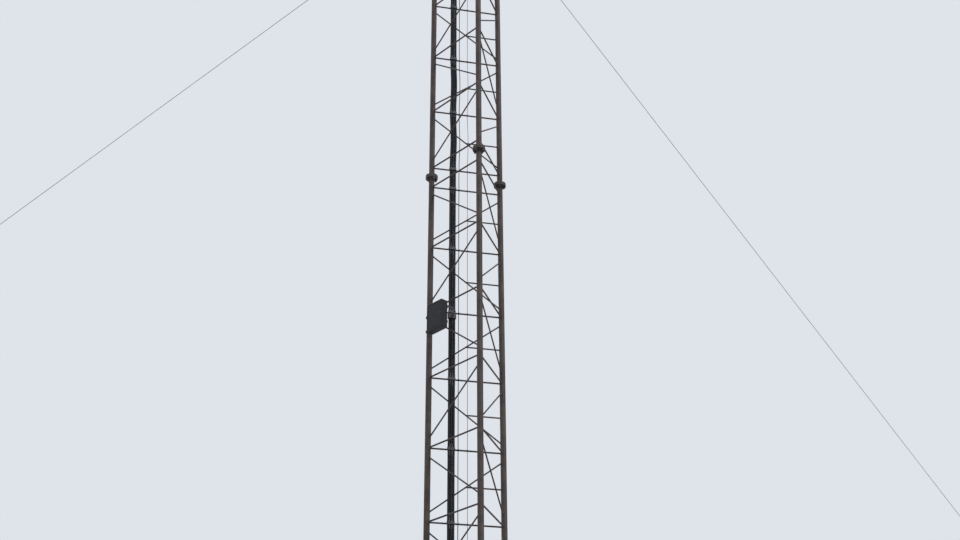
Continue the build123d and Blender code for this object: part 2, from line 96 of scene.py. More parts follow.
# Cables. The three feeders stand in a row. Between two level bars each cable is drawn in against its outward
# way, and in the bays whose middles lie between the heights of SLACK_BAYS, in metres, they all bow as well.
FEEDER_RADIUS = 12.5 * MM
FEEDER_PITCH = 26.5 * MM
FEEDERS_OUTWARD = ((-1, -0.3, 0), (0, -1, 0), (1, -0.4, 0))
THIN_CABLE_RADIUS = 4 * MM
THIN_CABLE_OUTWARD = (0.5, -0.9, 0)
EARTH_WIRE_RADIUS = 3 * MM
EARTH_WIRE_OUTWARD = (-0.6, -0.8, 0)
ROW_STEP = 40 * MM
CABLE_FOOT = 0.5 * MM
CABLE_REACH_MM = (1.1, 1.4)
SLACK_BAYS = (10.4, 11.7)
SLACK_BOW = 9 * MM
SLACK_WAY = (0.95, -0.3, 0)
CLEARANCE = 0.3 * MM
TIGHT_CLEARANCE = 0.2 * MM
STRAP_THICKNESS = 3.6 * MM
STRAP_HEIGHT = 30 * MM
STRAP_EDGE = 0.8 * MM
STRIP_EDGE = 0.3 * MM
HOOK_WIRE = 5 * MM
HOOK_CLEARANCE = 0.5 * MM
TIE_WIDTH = 4.6 * MM
TIE_THICKNESS = 1.3 * MM

# Half widths of a tie's ellipse, as shares of the depth that it spans and of the level bar's radius
TIE_REACH, TIE_SPREAD = 0.56, 1.5

# Box beside the left leg
BOX_WIDTH, BOX_HEIGHT, BOX_DEPTH = 235 * MM, 320 * MM, 75 * MM
BOX_LEG_DISTANCE = 100 * MM
LID_DEPTH = 8 * MM
LID_GROOVE = 5.4 * MM
LID_CORNER = 7 * MM
HINGE_LEVEL = 105 * MM
HINGE_OUT = 4.5 * MM
LATCH_INSET = 21 * MM
LATCH_LIFT = 5 * MM
RAIL_THICKNESS = 8 * MM
RAIL_LEVEL = 85 * MM
RAIL_OVERHANG = 14 * MM
BAND_THICKNESS = 1.4 * MM
BAND_WIDTH = 19 * MM
BAND_BEND = 1.5 * MM
BUCKLE = {"width": 20 * MM, "height": 24 * MM, "corner": 3 * MM}
FOLDED_END = {"width": 9 * MM, "height": 17 * MM, "corner": 1 * MM}
CONDUIT_HEIGHT = 120 * MM
CONDUIT_EDGE_DISTANCE = 35 * MM
GLAND_FLATS = 32 * MM

# Stays
STRAND_RADIUS = 3.5 * MM
STRAND_LAY = 100 * MM
STRAND_STEPS = 8
EYE_RADIUS = 20 * MM
THIMBLE_WALL = 3 * MM
THIMBLE_SHEET = 2.2 * MM
TEARDROP = 27 * MM
FERRULE_RADIUS = 10 * MM
FERRULE_LENGTH = 55 * MM
LUG_HALF = 7 * MM
LUG_HEIGHT = 150 * MM
LUG_EYE_DISTANCE = 50 * MM
SIDE_CLEARANCE = 1 * MM
SHACKLE_WIRE = 16 * MM
SHACKLE_LENGTH = 40 * MM
PIN_FLATS = 32 * MM
PIN_HEAD = 9 * MM
PIN_NUT = 11 * MM
JAW_PIN = 16 * MM
JAW_CHEEK = 9 * MM
JAW_REACH = 40 * MM
JAW_LENGTH = 66 * MM
JAW_PIN_END = 8 * MM
SCREW_RADIUS = 9 * MM
SCREW_PITCH = 2.5 * MM
SCREW_SHOWN = 45 * MM
SCREW_INSIDE = 80 * MM
RIDGE_HEIGHT = 0.25 * MM
LOCK_FLATS = 27 * MM
LOCK_HEIGHT = 9 * MM
BARREL_LENGTH = 300 * MM
BARREL_BAR = 12 * MM
BARREL_WELD = 2 * MM
BOSS_RADIUS = 23 * MM
BOSS_LENGTH = 40 * MM
BOSS_CHAMFER = 1.5 * MM
ANCHOR_EYE_HEIGHT = 170 * MM
ANCHOR_PLATE = 20 * MM
ANCHOR_HALF = 112.5 * MM
GUSSET_HALF = 6 * MM
GUSSET_HEIGHT = 84 * MM
PLATE_WELD = 4 * MM
CORNER_WELD = 3.5 * MM

# Head
FEEDER_CONNECTOR_RADIUS = 13 * MM
THIN_CONNECTOR_RADIUS = 10 * MM
CONNECTOR_HEIGHT = 55 * MM
ROD_X = 150 * MM
ROD_SOCKET_RADIUS = 20 * MM
SET_SCREW_THREAD = 10 * MM
SET_SCREW_LEVELS = (22 * MM, 48 * MM)
SET_SCREW_WAY = (0.5, -0.87, 0)
PALM_REACH, PALM_WIDTH, PALM_THICKNESS = 26 * MM, 18 * MM, 3 * MM
PALM_DROP = 3.2 * MM
PALM_THREAD = 8 * MM

# The photograph's camera, in metres and degrees, with its sensor and lens in millimetres
CAMERA_PLACE = (-2.748, -12.743, 1.653)
CAMERA_HEADING, CAMERA_PITCH, CAMERA_ROLL = 12.637, 28.545, -0.299
CAMERA_SENSOR, CAMERA_LENS = 36, 51.0

# Lamps by their azimuth, height and spread in degrees, and their strength
LAMPS = {"key": (40, 42, 25, 1.5), "fill": (-65, 30, 50, 0.6), "rim": (190, 35, 40, 0.8)}

rng = np.random.default_rng(11)


# Places that the pieces share, read from the frame

def middle(node):
    """The middle of a node's box."""
    low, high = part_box(node)
    return np.array((low + high) / 2)


def unit(vectors):
    """Vectors brought to length 1."""
    vectors = np.asarray(vectors, float)
    return vectors / np.linalg.norm(vectors, axis=-1, keepdims=True)


FLOORS = {section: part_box(f"{section}_flanges")[0].z for section in SECTIONS}
SECTION_HEIGHT = FLOORS["middle"] - FLOORS["lower"]
BASE_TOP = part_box("base_plate")[1].z
HEAD_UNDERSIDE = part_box("head_plate")[0].z
HEAD_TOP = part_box("feeder_cables")[1].z
AXES = {name: middle(f"lower_{name}_leg") * (1, 1, 0) for name in LEGS}
LEG_CIRCLE = np.linalg.norm(AXES["front"])
RUNG_Y = LEG_CIRCLE / 2
RINGS = {section: FLOORS[section] + JOINT_TO_RING + BAY_HEIGHT * np.arange(BAYS + 1) for section in SECTIONS}
ALL_RINGS = np.concatenate(list(RINGS.values()))
FEEDERS = middle("feeder_cables")
FEEDER_SPOTS = [FEEDERS + (number * FEEDER_PITCH, 0, 0) for number in (-1, 0, 1)]
THIN_CABLE = middle("thin_cable")
EARTH_WIRE = middle("earth_wire")
LEFT_ALONG = unit(AXES["front"] - AXES["left"])
LEFT_OUTWARD = np.cross(LEFT_ALONG, UP)
BOX_LEVEL = middle("equipment_box")[2]
BOX_BACK = LEG_RADIUS + RAIL_THICKNESS + CLEARANCE
STAY_LEVEL = RINGS["upper"][-2]
ANCHOR_RADIUS = middle("right_anchor")[0] / cos(radians(30))
LUG_EYE = np.array((LEG_CIRCLE + LEG_RADIUS + LUG_EYE_DISTANCE, 0, STAY_LEVEL))
ANCHOR_EYE = np.array((ANCHOR_RADIUS, 0, ANCHOR_EYE_HEIGHT))
STAY_LENGTH = np.linalg.norm(ANCHOR_EYE - LUG_EYE)
JAW_GAP = LUG_HALF + SIDE_CLEARANCE
TURNBUCKLE_LENGTH = 2 * (JAW_LENGTH + SCREW_SHOWN) + BARREL_LENGTH
THIMBLE_AT_LUG = SHACKLE_LENGTH + JAW_GAP + EYE_RADIUS - CLEARANCE
THIMBLE_AT_ANCHOR = TURNBUCKLE_LENGTH - JAW_PIN / 2 + EYE_RADIUS - CLEARANCE


# Shapes on a grid

def in_mm(*points):
    """Points given in millimetres, in metres."""
    return np.array(points, float) * MM


def turns(count):
    """Evenly spaced angles round a circle, without the last one."""
    return np.arange(count) * (2 * pi / count)


def polar(radius, angle, *height):
    """Points (r cos a, r sin a), or with heights (r cos a, r sin a, z), spread over one grid."""
    return np.stack(np.broadcast_arrays(radius * np.cos(angle), radius * np.sin(angle), *height), axis=-1)


def levelled(outline, height):
    """A flat outline put at a height."""
    return np.column_stack([outline, np.full(len(outline), height)])


def skin(points, round_rows=False):
    """A closed surface on a grid of points (..., rows, columns, 3) whose columns close to a ring.

    The rows close too, or else the first and last row get a fan of triangles round their middle. A copy
    whose signed volume, the sum of p . (next column x next row), is negative has its columns reversed.
    """
    rows, columns = points.shape[-3:-1]
    grids = np.reshape(points, (-1, rows, columns, 3))
    local = grids - grids.mean(axis=(1, 2), keepdims=True)
    beside = np.roll(local, -1, axis=2)
    volume = (local[:, :-1] * np.cross(beside[:, :-1], local[:, 1:])).sum(axis=(1, 2, 3))
    grids = np.where((volume < 0)[:, None, None, None], grids[:, :, ::-1], grids)
    index = np.arange(rows * columns).reshape(rows, columns)
    index = np.concatenate([index, index[:, :1]], axis=1)
    if round_rows:
        index = np.concatenate([index, index[:1]])
    quads = np.stack([index[:-1, :-1], index[:-1, 1:], index[1:, 1:], index[1:, :-1]], axis=-1)
    vertices = grids.reshape(len(grids), -1, 3)
    triangles = np.zeros((0, 3), int)
    if not round_rows:
        vertices = np.concatenate([vertices, grids[:, [0, -1]].mean(axis=2)], axis=1)
        foot = np.full(columns, rows * columns)
        triangles = np.concatenate([np.stack([foot, index[0, 1:], index[0, :-1]], axis=-1),
                                    np.stack([foot + 1, index[-1, :-1], index[-1, 1:]], axis=-1)])
    return repeated(vertices, quads.reshape(-1, 4), triangles)


def repeated(vertices, quads, triangles):
    """Faces of one copy, repeated for each copy of its vertices (copies, count, 3)."""
    shift = (np.arange(len(vertices)) * vertices.shape[1])[:, None, None]
    return vertices.reshape(-1, 3), (quads + shift).reshape(-1, 4), (triangles + shift).reshape(-1, 3)


def placed(block, places):
    """Copies of a block, one at each 4 x 4 place."""
    vertices, quads, triangles = block
    places = np.reshape(places, (-1, 4, 4))
    moved = vertices @ places[:, :3, :3].transpose(0, 2, 1) + places[:, None, :3, 3]
    return repeated(moved, quads, triangles)


def joined(blocks):
    """One block of several."""
    vertices, *faces = zip(*blocks)
    shifts = np.cumsum([0] + [len(points) for points in vertices[:-1]])
    return (np.concatenate(vertices),
            *(np.concatenate([part + shift for part, shift in zip(kind, shifts)]) for kind in faces))


def place(origin, z=(0, 0, 1), x=(1, 0, 0)):
    """A 4 x 4 place with the given origin and Z, and X as near as it can be to the one given."""
    z = unit(z)
    y = unit(np.cross(z, x))
    matrix = np.eye(4)
    matrix[:3, :3] = np.stack([np.cross(y, z), y, z], axis=1)
    matrix[:3, 3] = origin
    return matrix


# The place that lays a block's Z along X
LYING = place((0, 0, 0), z=(1, 0, 0), x=(0, 1, 0))


def turned(outline, sides=32, closed=False):
    """A surface of revolution about Z: (r cos a, r sin a, z) for each (r, z) of the outline and angle a."""
    radius, height = np.array(outline, float).T[:, :, None]
    return skin(polar(radius, turns(sides), height), closed)


def swept(path, first, second, profile, closed=False):
    """A profile along a path: path + u first + v second, for each (u, v) of the profile."""
    first, second = first[..., None, :], second[..., None, :]
    return skin(path[..., None, :] + first * profile[..., :1] + second * profile[..., 1:], closed)


def carried(path, profile, across):
    """A profile carried along a path, with u along the direction given, less its part along the path."""
    along = unit(np.gradient(path, axis=-2))
    first = unit(across - (along * across).sum(axis=-1, keepdims=True) * along)
    return swept(path, first, np.cross(along, first), profile)


def looped(path, profile, across):
    """A profile carried round a closed flat path, with u outward, as along x across, and v along across."""
    along = unit(np.roll(path, -1, axis=0) - np.roll(path, 1, axis=0))
    return swept(path, np.cross(along, across), across, profile, closed=True)


def circle(radius, sides=16):
    """Points on a circle, as a profile."""
    return polar(radius, turns(sides))


def flat_profile(thickness, width, edge):
    """A flat bar's section, with its corners cut off."""
    half, side = thickness / 2, width / 2
    return np.array([(-half, edge - side), (edge - half, -side), (half - edge, -side), (half, edge - side),
                     (half, side - edge), (half - edge, side), (edge - half, side), (-half, side - edge)])


def tube(path, radius, across, sides=16):
    """A round bar along a path."""
    return carried(np.asarray(path, float), circle(radius, sides), across)


def hexagon(flats, low, high):
    """A hexagon with turned ends: r = the lesser of flats / 2 / cos(angle off a flat's middle) and a cone
    that starts inside the flats and is past the corners, at 0.577 flats, half a chamfer further on.
    """
    angle = turns(HEX_STEPS)
    sides = flats / 2 / np.cos(angle % (pi / 3) - pi / 6)
    chamfer = 0.08 * flats
    height = np.array([low, low + chamfer / 2, high - chamfer / 2, high])[:, None]
    cone = np.array([0.48, 0.58, 0.58, 0.48])[:, None] * flats
    return skin(polar(np.minimum(sides, cone), angle, height))


def thread(radius, low, high, pitch, sides=12, rows=4):
    """A screw thread: r = radius less a triangle wave of height / pitch - angle / turn."""
    angle = turns(sides)
    height = np.linspace(low, high, max(2, ceil((high - low) / pitch * rows)))[:, None]
    phase = (height / pitch - angle / (2 * pi)) % 1
    return skin(polar(radius - pitch / 2 * np.abs(2 * phase - 1), angle, height))


def washer(size, low):
    """A flat washer for a bolt of a size, from a height up."""
    outer, inner, high = size * WASHER_WIDTH / 2, size * WASHER_BORE / 2, low + size * WASHER_THICKNESS
    return turned([(inner, low), (outer, low), (outer, high), (inner, high)], 24, closed=True)


def bolt(size, grip, above, below=None):
    """A bolt along Z through a grip that starts at height 0, with a head or a nut above and a nut below."""
    washer_height = size * WASHER_THICKNESS
    seat = grip + washer_height
    parts = [washer(size, grip)]
    if above == "head":
        parts.append(hexagon(size * HEX_FLATS, seat, seat + size * HEAD_HEIGHT))
    else:
        top = seat + size * NUT_HEIGHT
        parts.append(hexagon(size * HEX_FLATS, seat, top))
        parts.append(thread(size / 2, top, top + size * THREAD_SHOWN, size * THREAD_PITCH))
    if below == "nut":
        parts.append(washer(size, -washer_height))
        top = -washer_height - size * NUT_HEIGHT
        parts.append(hexagon(size * HEX_FLATS, top, -washer_height))
        parts.append(thread(size / 2, top - size * THREAD_SHOWN, top, size * THREAD_PITCH))
    return joined(parts)


def run_length(path):
    """The length along a path at each of its points."""
    steps = np.linalg.norm(np.diff(path, axis=-2), axis=-1)
    return np.concatenate([[0], np.cumsum(steps)])


def bead(start, end, size, across):
    """A straight weld bead: a round bar whose radius swells and shrinks as sin(2 pi length / ripple)."""
    count = ceil(np.linalg.norm(np.subtract(end, start)) / WELD_RIPPLE * 3)
    path = np.linspace(start, end, max(count, 2))
    radius = size * (1 + WELD_SWELL * np.sin(2 * pi * run_length(path) / WELD_RIPPLE))
    return carried(path, polar(radius[:, None], turns(8)), across)


def ring_bead(centre, radius, size):
    """A bead round an upright tube, with a whole number of ripples."""
    ripples = round(2 * pi * radius / WELD_RIPPLE)
    angle = turns(3 * ripples)
    swell = size * (1 + WELD_SWELL * np.sin(angle * ripples))
    return looped(polar(radius, angle, 0) + np.asarray(centre), polar(swell[:, None], turns(8)), UP)


def laid_strand(path, across, radius, lay):
    """Six wires laid round a core: r = w cos b + sqrt((w / 2)^2 - (w sin b)^2) with w = 2/3 of the radius
    and b the angle from the nearest wire, turned by the length along the path / lay.
    """
    offsets = radians(60) * (np.arange(18) % 3 - 1) / 3
    wire = 2 / 3 * radius
    reach = wire * np.cos(offsets) + np.sqrt((wire / 2) ** 2 - (wire * np.sin(offsets)) ** 2)
    twist = run_length(path) * (2 * pi / lay)
    return carried(path, polar(reach, turns(18) + twist[:, None]), across)


def stadium(half, radius, steps=12):
    """A round-ended slot: half circles of the radius about (half, 0) and (-half, 0)."""
    angle = np.concatenate([np.linspace(-pi / 2, pi / 2, steps), np.linspace(pi / 2, 3 * pi / 2, steps)])
    return polar(radius, angle) + np.outer(np.repeat([half, -half], steps), (1, 0))


def rounded_rectangle(width, height, corner, steps=6):
    """A rectangle with round corners, counter-clockwise."""
    angle = np.concatenate([np.linspace(k * pi / 2, (k + 1) * pi / 2, steps) for k in range(4)])
    side_x = np.repeat([1, -1, -1, 1], steps) * (width / 2 - corner)
    side_y = np.repeat([1, 1, -1, -1], steps) * (height / 2 - corner)
    return polar(corner, angle) + np.stack([side_x, side_y], axis=-1)


def pressed_panel(width, height, corner, profile):
    """A pressed panel: rounded rectangles drawn in by each profile point's inset, at its height."""
    return skin(np.stack([levelled(rounded_rectangle(width - 2 * inset, height - 2 * inset, corner), level)
                          for inset, level in profile]))


# Materials

# A Mix node's sockets by number, because its numbers and its colours have the same names
SHARE, NUMBER_A, NUMBER_B, COLOUR_A, COLOUR_B = 0, 2, 3, 6, 7
IN_COLOUR = {"data_type": "RGBA", "output": 2}


def linear(code):
    """Turns an sRGB hex code to a linear colour."""
    srgb = np.array([int(code[start:start + 2], 16) for start in (1, 3, 5)]) / 255
    low, high = srgb / 12.92, ((srgb + 0.055) / 1.055) ** 2.4
    return (*np.where(srgb <= 0.04045, low, high), 1.0)


def add(tree, kind, sockets=None, output=0, **settings):
    """Adds a node, sets its properties, gives each socket a link, a hex colour or a value, and returns one
    of its outputs.
    """
    node = tree.nodes.new(f"ShaderNode{kind}")
    for name, value in settings.items():
        setattr(node, name, value)
    for socket, value in (sockets or {}).items():
        if isinstance(value, bpy.types.NodeSocket):
            tree.links.new(value, node.inputs[socket])
        else:
            node.inputs[socket].default_value = linear(value) if isinstance(value, str) else value
    return node.outputs[output]


def new_material(name, **constants):
    """A material and its node tree, with the constants set on the shader's own sockets."""
    material = bpy.data.materials.new(name)
    material.use_nodes = True
    shader = material.node_tree.nodes["Principled BSDF"]
    for socket, value in constants.items():
        shader.inputs[socket.replace("_", " ")].default_value = value
    return material, material.node_tree


def streaks(tree, spot, width, length, **settings):
    """Noise drawn out along Z, with one size across and another one along it."""
    runs = add(tree, "Mapping", {"Vector": spot, "Scale": (1 / width, 1 / width, 1 / length)})
    return add(tree, "TexNoise", {"Vector": runs, "Scale": 1.0, **settings})


def laid_over(tree, pattern, limits, most, under, colour):
    """A colour laid over another where a pattern is high: not at all up to the lower limit, and by most
    from the upper one on.
    """
    low, high = limits
    share = add(tree, "MapRange", {"Value": pattern, "From Min": low, "From Max": high, "To Max": most})
    return add(tree, "Mix", {SHARE: share, COLOUR_A: under, COLOUR_B: colour}, **IN_COLOUR)


def finished(material, colour, roughness, relief, strength, depth):
    """The material, with its patterns linked to its shader."""
    tree = material.node_tree
    bump = add(tree, "Bump", {"Height": relief, "Strength": strength, "Distance": depth})
    shader = tree.nodes["Principled BSDF"]
    for socket, pattern in (("Base Color", colour), ("Roughness", roughness), ("Normal", bump)):
        tree.links.new(pattern, shader.inputs[socket])
    return material


def weathered_zinc(name, patina, bright, stain, spangle, rusting=0.0, roughness=0.54, bays=False):
    """Hot-dip zinc on steel. Its spangle has dulled to grey patina, darker and paler in patches the size
    of a hand, rain has drawn streaks down it, and rust shows through at pits, in the bays most under the
    level bars. The grain is 1.6 mm, coarser than the real one, so that it shows.
    """
    material, tree = new_material(name, Metallic=0.45)
    spot = add(tree, "TexCoord", output="Object")
    patches = add(tree, "TexNoise", {"Vector": spot, "Scale": 1 / (160 * MM), "Detail": 6, "Roughness": 0.62})
    coat = laid_over(tree, patches, (0.4, 0.62), 1.0, patina, bright)
    crystals = add(tree, "TexVoronoi", {"Vector": spot, "Scale": 1 / spangle, "Randomness": 1.0}, "Color")
    tint = add(tree, "SeparateColor", {"Color": crystals})
    glint = add(tree, "MapRange", {"Value": tint, "To Min": 0.86, "To Max": 1.12})
    shade = add(tree, "Mix", {SHARE: 1.0, COLOUR_A: coat, COLOUR_B: glint}, blend_type="MULTIPLY",
                **IN_COLOUR)
    rain = streaks(tree, spot, 9 * MM, 230 * MM, Detail=4, Roughness=0.55)
    streaked = laid_over(tree, rain, (0.45, 0.75), 0.45, shade, "#2f2c2a")
    pits = add(tree, "TexNoise", {"Vector": spot, "Scale": 1 / (26 * MM), "Detail": 9, "Roughness": 0.68})
    limit = add(tree, "Math", {0: 0.66, 1: rusting}, operation="SUBTRACT")
    if bays:
        # How far a point lies below a level bar's top: (top - height) wrapped to one bay, in each section
        height = add(tree, "SeparateXYZ", {"Vector": spot}, "Z")
        section = add(tree, "Math", {0: height, 1: BASE_TOP + SECTION_HEIGHT, 2: BASE_TOP}, operation="WRAP")
        bar_top = BASE_TOP + JOINT_TO_RING + RING_RADIUS
        below = add(tree, "Math", {0: bar_top, 1: section}, operation="SUBTRACT")
        fall = add(tree, "Math", {0: below, 1: BAY_HEIGHT, 2: 0.0}, operation="WRAP")
        near = add(tree, "MapRange", {"Value": fall, "From Max": 150 * MM, "To Min": 0.085, "To Max": 0.0})
        limit = add(tree, "Math", {0: limit, 1: near}, operation="SUBTRACT")
    over = add(tree, "Math", {0: pits, 1: limit}, operation="SUBTRACT")
    rust = add(tree, "MapRange", {"Value": over, "From Max": 0.06, "To Max": 0.9})
    ochre = add(tree, "Mix", {SHARE: rain, COLOUR_A: stain, COLOUR_B: "#573a2a"}, **IN_COLOUR)
    colour = add(tree, "Mix", {SHARE: rust, COLOUR_A: streaked, COLOUR_B: ochre}, **IN_COLOUR)
    rough = add(tree, "MapRange", {"Value": patches, "To Min": roughness - 0.12, "To Max": roughness + 0.14})
    dull = add(tree, "Mix", {SHARE: rust, NUMBER_A: rough, NUMBER_B: 0.9})
    grain = add(tree, "TexNoise", {"Vector": spot, "Scale": 1 / (1.6 * MM), "Detail": 3})
    relief = add(tree, "Math", {0: pits, 1: grain, 2: 0.3}, operation="MULTIPLY_ADD")
    return finished(material, colour, dull, relief, strength=0.35, depth=0.6 * MM)


def cable_jacket():
    """Extruded black polyethylene. It is near black and satin, greyed by dust in patches, with lines along
    its length from the die and a few paler scuffs. The lines are 1.4 mm apart, coarser than the real ones,
    so that they show.
    """
    material, tree = new_material("extruded_black_polyethylene", IOR=1.51, Specular_IOR_Level=0.25)
    spot = add(tree, "TexCoord", output="Object")
    dust = add(tree, "TexNoise", {"Vector": spot, "Scale": 1 / (110 * MM), "Detail": 6, "Roughness": 0.6})
    black = laid_over(tree, dust, (0.42, 0.72), 0.6, "#101116", "#212125")
    scuffs = add(tree, "TexNoise", {"Vector": spot, "Scale": 1 / (12 * MM), "Detail": 8, "Roughness": 0.7})
    colour = laid_over(tree, scuffs, (0.64, 0.7), 0.5, black, "#35343a")
    rough = add(tree, "MapRange", {"Value": dust, "To Min": 0.5, "To Max": 0.8})
    lines = streaks(tree, spot, 1.4 * MM, 400 * MM, Detail=3)
    return finished(material, colour, rough, lines, strength=0.15, depth=0.25 * MM)


def stove_enamel():
    """Stove-enamelled sheet steel, near black. The orange-peel skin has chalked to a duller grey in
    patches, with rain streaks and small chips down to brown rust. The peel is 2.2 mm, coarser than the
    real one, so that it shows.
    """
    material, tree = new_material("dark_stove_enamel", IOR=1.5, Specular_IOR_Level=0.3)
    spot = add(tree, "TexCoord", output="Object")
    chalk = add(tree, "TexNoise", {"Vector": spot, "Scale": 1 / (90 * MM), "Detail": 6, "Roughness": 0.6})
    coat = laid_over(tree, chalk, (0.4, 0.7), 0.7, "#121318", "#232329")
    rain = streaks(tree, spot, 7 * MM, 160 * MM, Detail=4)
    streaked = laid_over(tree, rain, (0.5, 0.8), 0.6, coat, "#302f30")
    chips = add(tree, "TexNoise", {"Vector": spot, "Scale": 1 / (15 * MM), "Detail": 10, "Roughness": 0.7})
    bare = add(tree, "MapRange", {"Value": chips, "From Min": 0.67, "From Max": 0.69})
    peel = add(tree, "TexNoise", {"Vector": spot, "Scale": 1 / (2.2 * MM), "Detail": 1})
    colour = add(tree, "Mix", {SHARE: bare, COLOUR_A: streaked, COLOUR_B: "#5b3a24"}, **IN_COLOUR)
    rough = add(tree, "MapRange", {"Value": chalk, "To Min": 0.4, "To Max": 0.75})
    relief = add(tree, "Math", {0: bare, 1: -1.5, 2: peel}, operation="MULTIPLY_ADD")
    return finished(material, colour, rough, relief, strength=0.25, depth=0.2 * MM)


def weathered_aluminium():
    """Turned aluminium left outdoors. It is pale and matt, with rings from the lathe and a thin grey bloom
    in patches. The rings are 0.8 mm apart, coarser than the real ones, so that they show.
    """
    material, tree = new_material("turned_aluminium", Metallic=0.9)
    spot = add(tree, "TexCoord", output="Object")
    bloom = add(tree, "TexNoise", {"Vector": spot, "Scale": 1 / (30 * MM), "Detail": 6, "Roughness": 0.6})
    colour = add(tree, "Mix", {SHARE: bloom, COLOUR_A: "#a5a6a6", COLOUR_B: "#7e7f80"}, **IN_COLOUR)
    rough = add(tree, "MapRange", {"Value": bloom, "To Min": 0.32, "To Max": 0.68})
    rings = streaks(tree, spot, 80 * MM, 0.8 * MM, Detail=2)
    return finished(material, colour, rough, rings, strength=0.2, depth=0.1 * MM)


# Finishes by the record's slots
FINISHES = {
    # The mast steel's patina and bright tones are darker than dulled zinc. This is partly weathering and
    # partly painted shade, the dark look of a mast with the light behind it.
    "mast_steel": weathered_zinc("dulled_galvanised_steel_with_painted_shade", patina="#3a322e", bright="#4f4742",
                                 stain="#3b281d", spangle=11 * MM, rusting=0.02, roughness=0.62, bays=True),
    "zinc_fittings": weathered_zinc("hot_dip_zinc_fittings", patina="#3c3b3e", bright="#535256",
                                    stain="#452d20", spangle=8 * MM),
    "wire_strand": weathered_zinc("zinc_coated_wire", patina="#4f4e52", bright="#6c6c70",
                                  stain="#4a3022", spangle=3 * MM),
    "cable_jacket": cable_jacket(),
    "box_paint": stove_enamel(),
    "bare_metal": weathered_aluminium(),
}

for part in frame["record"]["subparts"]:
    cad = frame["nodes"][part["node"]]
    cad.data.materials.clear()
    cad.data.materials.append(FINISHES[part["material_slot"]])


def linked(name, content):
    """A new object in the scene."""
    thing = bpy.data.objects.new(name, content)
    bpy.context.scene.collection.objects.link(thing)
    return thing


def piece(name, blocks, slot, replaced=()):
    """An object of the joined blocks that rides on the mast, with sharp edges kept and the rest smooth."""
    vertices, quads, triangles = joined(blocks)
    mesh = bpy.data.meshes.new(name)
    mesh.vertices.add(len(vertices))
    mesh.vertices.foreach_set("co", vertices.astype(np.float32).ravel())
    corners = np.concatenate([quads.ravel(), triangles.ravel()])
    mesh.loops.add(len(corners))
    mesh.loops.foreach_set("vertex_index", corners.astype(np.int32))
    starts = np.concatenate([np.arange(len(quads)) * 4, quads.size + np.arange(len(triangles)) * 3])
    mesh.polygons.add(len(starts))
    mesh.polygons.foreach_set("loop_start", starts.astype(np.int32))
    mesh.polygons.foreach_set("use_smooth", np.ones(len(starts), bool))
    mesh.update(calc_edges=True)
    mesh.set_sharp_from_angle(angle=SHARP_ANGLE)
    mesh.materials.append(FINISHES[slot])
    thing = linked(name, mesh)
    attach(thing, "root")
    if replaced:
        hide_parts(*replaced)


# Lattice: round bars coped to the legs, and their welds

def meet(points, direction, origin, axis, radius):
    """Where lines p + t d first meet a cylinder: t = (-b - sqrt(max(b^2 - a c, 0))) / a, with a = d . d,
    b = d . p and c = p . p - radius^2, after the part along the cylinder's axis is taken from p and d.
    """
    flat = points - origin
    flat = flat - (flat @ axis)[..., None] * axis
    way = direction - (direction @ axis)[..., None] * axis
    a = (way * way).sum(axis=-1)
    b = (flat * way).sum(axis=-1)
    c = (flat * flat).sum(axis=-1) - radius ** 2
    return points + ((-b - np.sqrt(np.maximum(b * b - a * c, 0))) / a)[..., None] * direction


def coped_bar(start, end, radius, hosts):
    """A round bar between two hosts, each (origin, axis, radius), cut to their round, with a bead at each."""
    start, end = np.asarray(start, float), np.asarray(end, float)
    along = unit(end - start)
    first = unit(np.cross(along, UP))
    second = np.cross(along, first)
    rows, beads = [], []
    for (origin, axis, size), way in zip(hosts, (-along, along)):
        spots = []
        for angle, reach in ((turns(BAR_SIDES), size - BAR_LET_IN), (turns(BEAD_SIDES), size)):
            round_bar = np.cos(angle)[:, None] * first + np.sin(angle)[:, None] * second
            from_middle = (start + end) / 2 + radius * round_bar
            spots.append(meet(from_middle, np.broadcast_to(way, round_bar.shape), origin, axis, reach))
        rows.append(spots[0])
        away = spots[1] - origin
        away = unit(away - (away @ axis)[:, None] * axis)
        beads.append(swept(spots[1], round_bar, away, circle(WELD_SIZE, 4), closed=True))
    return [skin(np.stack(rows))] + beads


def face_bars(face, section):
    """The bars of one face of a section: level bars, diagonals that turn round at each bay, and step bars."""
    ends = [AXES[name] for name in FACES[face]]
    legs = [(axis, UP, LEG_RADIUS) for axis in ends]
    rings = RINGS[section]
    blocks = []
    for level in rings:
        blocks += coped_bar(ends[0] + UP * level, ends[1] + UP * level, RING_RADIUS, legs)
    for number, (low, high) in enumerate(zip(rings, rings[1:])):
        upper, lower = (0, 1) if number % 2 else (1, 0)
        top = ends[upper] + UP * (high - DIAGONAL_TO_RING)
        foot = ends[lower] + UP * (low + DIAGONAL_TO_RING)
        blocks += coped_bar(top, foot, DIAGONAL_RADIUS, (legs[upper], legs[lower]))
        if face == "back":
            level = (low + high) / 2
            joint = (np.array((0, RUNG_Y, level)), unit(foot - top), DIAGONAL_RADIUS)
            blocks += coped_bar(joint[0], ends[0] + UP * level, DIAGONAL_RADIUS, (joint, legs[0]))
    return blocks


def chamfered_ring(bore, rim, height, edge, sides):
    """A turned ring from height 0 up, with chamfered outer edges."""
    outline = [(bore, 0), (rim - edge, 0), (rim, edge), (rim, height - edge), (rim - edge, height),
               (bore, height)]
    return turned(outline, sides, closed=True)


def flange_joints():
    """The flanges at both ends of each leg's sections, and the bead that joins each to its tube."""
    flange = chamfered_ring(LEG_RADIUS, FLANGE_RADIUS, FLANGE_THICKNESS, FLANGE_CHAMFER, 56)
    flanges, welds = [], []
    for axis in AXES.values():
        for floor in FLOORS.values():
            head = floor + SECTION_HEIGHT - FLANGE_THICKNESS
            flanges.append(placed(flange, [place(axis + UP * floor), place(axis + UP * head)]))
            for level in (floor + FLANGE_THICKNESS, head):
                welds.append(ring_bead(axis + UP * level, LEG_RADIUS + FLANGE_WELD_OUT, FLANGE_WELD))
    return flanges, welds


